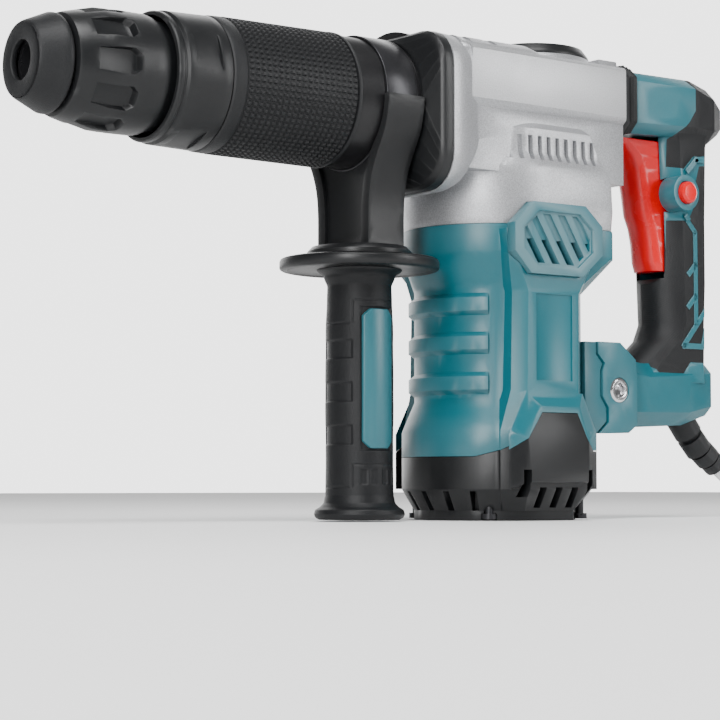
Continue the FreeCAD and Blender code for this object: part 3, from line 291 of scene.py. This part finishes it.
def soften(obj, width, angle=28.0, segments=2):
    """Rounds the edges of a carried-over node or a new piece."""
    weld = obj.modifiers.new("weld", "WELD")
    weld.merge_threshold = 2e-5
    bevel = obj.modifiers.new("bevel", "BEVEL")
    bevel.width = width
    bevel.segments = segments
    bevel.limit_method = "ANGLE"
    bevel.angle_limit = math.radians(angle)
    bevel.use_clamp_overlap = True
    bevel.harden_normals = False


# ---- carried-over nodes -----------------------------------------------------------------------------------
EDGE = {                # widths of the rounded edges in millimetres
    "gear_housing": 1.6, "motor_housing": 1.4, "end_cover": 1.2, "front_bezel": 1.0,
    "handle_shell_left": 1.6, "handle_shell_right": 1.6, "grip_cover": 1.2, "trigger": 3.2,
    "handle_yoke": 1.2, "handle_bracket": 1.4, "vent_panels": 0.5, "chuck_cover": 0.8,
    "change_ring": 0.6, "dust_cap": 0.8, "crank_cap": 0.7, "side_grip_core": 1.0,
    "side_grip_inlays": 0.8, "barrel": 0.4, "clamp_band": 0.4, "lock_button": 0.8, "handle_boot": 1.0,
    "strain_relief": 0.5, "plug_body": 2.0, "plug_pins": 0.8, "pivot_bolt": 0.4, "cable_tie": 0.3,
}
OWN_MATERIAL = {"grip_cover": GRIP_RUBBER}


def dress_nodes():
    slots = {part["node"]: part["material_slot"] for part in frame["record"]["subparts"]}
    for name, node in frame["nodes"].items():
        material = OWN_MATERIAL.get(name) or MATERIALS[slots[name]]
        node.data.materials.clear()
        node.data.materials.append(material)
        smooth_by_angle(node.data, 30.0)
        if name in EDGE:
            soften(node, EDGE[name] * MM)


dress_nodes()


# ---- knurled barrel grip ----------------------------------------------------------------------------------
def trapezoid(t, low, high):
    """0 at the ends of a cell, 1 in its middle, with sloping sides between low and high."""
    edge = min(t, 1 - t)
    return max(0.0, min(1.0, (edge - low) / (high - low)))


def build_barrel_grip():
    studs_long, studs_round = 19, 72
    start, end = 104.6, 169.2
    cell = [0.0, 0.13, 0.30, 0.70, 0.87]
    stations = [(96.4, 30.75, 0), (96.45, 32.5, 0), (97.2, 33.1, 0), (98.2, 33.3, 0), (103.2, 33.5, 0),
                (104.0, 33.2, 0), (104.5, 32.7, 0)]
    for k in range(studs_long):
        for t in cell:
            x = start + (end - start) * (k + t) / studs_long
            stations.append((x, 32.7 + 0.7 * (x - start) / (end - start), trapezoid(t, 0.13, 0.30)))
    stations += [(169.3, 33.3, 0), (169.6, 34.3, 0), (170.2, 34.55, 0), (171.3, 34.5, 0), (171.6, 34.1, 0),
                 (171.6, 30.75, 0)]
    columns = studs_round * len(cell)
    vertices = []
    for x, radius, long_height in stations:
        for j in range(columns):
            t = (j // len(cell) + cell[j % len(cell)]) / studs_round
            height = 0.95 * long_height * trapezoid(cell[j % len(cell)], 0.13, 0.30)
            a = 2 * math.pi * t
            r = radius + height
            vertices.append(at(x, r * math.cos(a), AXIS_Z + r * math.sin(a)))
    faces = skin_grid(len(stations), columns, caps=False)
    faces += [((len(stations) - 1) * columns + j, (len(stations) - 1) * columns + (j + 1) % columns,
               (j + 1) % columns, j) for j in range(columns)]
    piece("barrel_grip_knurled", vertices, faces, "machine", "black_rubber",
          instead_of="barrel_grip", angle=25.0)


build_barrel_grip()


# ---- side grip --------------------------------------------------------------------------------------------
SIDE_X = 195.0
SIDE_PROFILE = [(0.6, 20.5), (1.6, 22.4), (3.4, 23.2), (5.6, 22.6), (7.0, 20.2), (9.0, 18.3), (13.0, 17.4),
                (30.0, 17.2), (60.0, 17.5), (96.0, 17.3), (112.0, 16.7), (119.0, 16.5), (124.2, 18.2),
                (127.7, 21.8)]
SIDE_FLANGE_TOP = 20    # straight lines join the profile's points up to this height, soft ones above it
INLAY_LOW, INLAY_HIGH = 36.2, 107.4
INLAY_HALF = math.asin(9.2 / 17.4)


def smoothstep(t):
    t = max(0.0, min(1.0, t))
    return t * t * (3 - 2 * t)


def grip_radius(z):
    for (z0, r0), (z1, r1) in zip(SIDE_PROFILE, SIDE_PROFILE[1:]):
        if z <= z1 and z > SIDE_FLANGE_TOP:
            return r0 + (r1 - r0) * smoothstep((z - z0) / (z1 - z0))
        if z <= z1:
            return r0 + (r1 - r0) * (z - z0) / (z1 - z0)
    return SIDE_PROFILE[-1][1]


def inside(value, low, high, soft):
    """1 between low and high, falling to 0 over a soft edge."""
    return smoothstep((value - low) / soft + 0.5) * smoothstep((high - value) / soft + 0.5)


def grip_relief(z, a):
    """Depth of the moulded grooves at height z and angle a from the side that faces left (-Y)."""
    flank = min(abs(a), abs(math.pi - abs(a)))
    depth = 0.0
    for low, high in ((82.0, 91.2), (60.2, 69.9), (38.6, 48.2)):
        depth += 0.75 * inside(z, low, high, 0.9) * inside(flank, 0.86, 2.2, 0.06)
    for line in (99.6, 16.9):
        depth += 0.35 * inside(z, line - 0.35, line + 0.35, 0.5) * inside(flank, 0.95, 2.2, 0.05)
    for line in (111.5, 28.5):
        depth += 0.35 * inside(z, line - 0.35, line + 0.35, 0.5) * inside(flank, -1.0, 0.78, 0.05)
    for low, high in ((99.6, 111.5), (16.9, 28.5)):
        depth += 0.35 * inside(z, low, high, 0.8) * inside(flank, 0.84, 0.88, 0.04)
    for centre in (0.50, 0.20):
        depth += 0.5 * inside(z, 18.5, 26.0, 0.7) * inside(flank, centre - 0.10, centre + 0.10, 0.04)
    beside_inlay = inside(flank, -1.0, INLAY_HALF + 0.05, 0.03)
    near_inlay = beside_inlay * inside(z, INLAY_LOW - 0.6, INLAY_HIGH + 0.6, 0.5)
    return depth + 0.9 * near_inlay


def build_side_grip():
    rows, columns = 330, 240
    vertices = []
    low, high = SIDE_PROFILE[0][0], SIDE_PROFILE[-1][0]
    for i in range(rows):
        z = low + (high - low) * i / (rows - 1)
        for j in range(columns):
            a = -math.pi + 2 * math.pi * j / columns
            r = grip_radius(z) - grip_relief(z, a)
            vertices.append(at(SIDE_X + r * math.sin(a), -r * math.cos(a), z))
    piece("side_grip_moulded", vertices, skin_grid(rows, columns), "side_grip", "black_rubber",
          instead_of="side_grip_rubber", angle=60.0)


build_side_grip()


# ---- lines and inlays laid on a surface -------------------------------------------------------------------
def target_tree(names):
    """Search tree over carried-over nodes as they are shown."""
    graph = bpy.context.evaluated_depsgraph_get()
    vertices, faces = [], []
    for name in names:
        mesh = frame["nodes"][name].evaluated_get(graph).to_mesh()
        base = len(vertices)
        vertices += [v.co.copy() for v in mesh.vertices]
        faces += [[base + i for i in p.vertices] for p in mesh.polygons]
    return BVHTree.FromPolygons(vertices, faces)


def laid_ribbon(name, outlines, tree, side, body, slot, lift, step=1.2):
    """Flat shapes given as polygons of (x, z) in millimetres, laid on a flank and raised by lift."""
    work = bmesh.new()
    for outline in outlines:
        ring = [work.verts.new((x, 0, z)) for x, z in outline]
        work.faces.new(ring)
    bmesh.ops.triangulate(work, faces=work.faces[:])
    for _ in range(7):
        long_edges = [e for e in work.edges if e.calc_length() > step]
        if not long_edges:
            break
        bmesh.ops.subdivide_edges(work, edges=long_edges, cuts=1)
        bmesh.ops.triangulate(work, faces=work.faces[:])
    for v in work.verts:
        origin = at(v.co.x, side * 90, v.co.z)
        hit = tree.ray_cast(origin, Vector((0, -side, 0)))[0]
        v.co = (hit if hit else at(v.co.x, side * 20, v.co.z)) + Vector((0, side * lift * MM, 0))
    mesh = bpy.data.meshes.new(name)
    work.to_mesh(mesh)
    work.free()
    obj = bpy.data.objects.new(name, mesh)
    bpy.context.scene.collection.objects.link(obj)
    obj.data.materials.append(MATERIALS[slot])
    mesh.shade_smooth()
    thick = obj.modifiers.new("thickness", "SOLIDIFY")
    thick.thickness = 0.5 * MM
    thick.offset = 0
    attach(obj, body)
    return obj


def band(points, width):
    """Outline quads of a band of a given width along (x, z) points."""
    quads = []
    for (x0, z0), (x1, z1) in zip(points, points[1:]):
        length = math.hypot(x1 - x0, z1 - z0)
        nx, nz = -(z1 - z0) / length * width / 2, (x1 - x0) / length * width / 2
        ex, ez = (x1 - x0) / length * width * 0.35, (z1 - z0) / length * width * 0.35
        quads.append([(x0 - ex + nx, z0 - ez + nz), (x1 + ex + nx, z1 + ez + nz),
                      (x1 + ex - nx, z1 + ez - nz), (x0 - ex - nx, z0 - ez - nz)])
    return quads


def build_grip_channels():
    tree = target_tree(["grip_cover"])
    shapes = band([(413.5, 196.5), (420.5, 203.5), (426.0, 203.5)], 3.2)
    shapes += band([(412.0, 170.5), (420.3, 162.0), (420.8, 110.0)], 3.0)
    shapes += band([(420.5, 143.5), (415.2, 138.0)], 3.2) + band([(420.5, 125.5), (414.8, 119.4)], 3.2)
    shapes += band([(428.0, 117.0), (410.5, 96.8), (426.0, 96.8), (428.6, 106.0)], 3.2)
    for side, name in ((-1, "left"), (1, "right")):
        laid_ribbon("grip_channel_" + name, shapes, tree, side, "rear_handle", "teal_plastic", 0.1)


build_grip_channels()


# ---- stage ------------------------------------------------------------------------------------------------
def add_floor():
    mesh = bpy.data.meshes.new("floor")
    size = 4.0
    corners = [(-size, -size, 0), (size, -size, 0), (size, size, 0), (-size, size, 0)]
    mesh.from_pydata(corners, [], [(0, 1, 2, 3)])
    floor = bpy.data.objects.new("floor", mesh)
    bpy.context.scene.collection.objects.link(floor)
    floor.location.z = -0.2 * MM
    material, nodes, links, shader, coords = new_material("pale_floor")
    cloud = noise_of(nodes, links, coords, 6.0)
    links.new(ramp_of(nodes, links, cloud, [(0.0, grey(0.88)), (1.0, grey(0.92))]),
              shader.inputs["Base Color"])
    shader.inputs["Roughness"].default_value = 0.7
    floor.data.materials.append(material)


def add_light(name, place, target, energy, size, size_y=None):
    data = bpy.data.lights.new(name, "AREA")
    data.energy = energy
    data.size = size
    if size_y:
        data.shape = "RECTANGLE"
        data.size_y = size_y
    light = bpy.data.objects.new(name, data)
    light.location = place
    light.rotation_euler = (target - place).to_track_quat("-Z", "Y").to_euler()
    bpy.context.scene.collection.objects.link(light)


def add_world():
    """Dim studio with a white cyclorama on the side of +X and +Y."""
    world = bpy.data.worlds.new("studio")
    world.use_nodes = True
    nodes, links = world.node_tree.nodes, world.node_tree.links
    background = nodes["Background"]
    coords = nodes.new("ShaderNodeTexCoord")
    facing = nodes.new("ShaderNodeVectorMath")
    facing.operation = "DOT_PRODUCT"
    facing.inputs[1].default_value = (0.60, 0.80, 0.0)
    links.new(coords.outputs["Generated"], facing.inputs[0])
    sweep = ramp_of(nodes, links, facing.outputs["Value"], [(0.55, grey(WORLD_DIM)), (0.85, grey(1.0))])
    links.new(sweep, background.inputs["Color"])
    background.inputs["Strength"].default_value = WORLD_BRIGHT
    bpy.context.scene.world = world


WORLD_BRIGHT = 3.2
WORLD_DIM = 0.07
add_floor()
add_world()
middle = Vector((0, 0, 0.14))
add_light("strip", Vector((-1.45, -1.05, 0.75)), middle, 34, 0.35, 1.3)
add_light("top", Vector((-0.3, -0.5, 1.5)), middle, 20, 0.8)
add_light("side", Vector((0.9, -1.3, 0.7)), middle, 14, 0.4, 1.0)
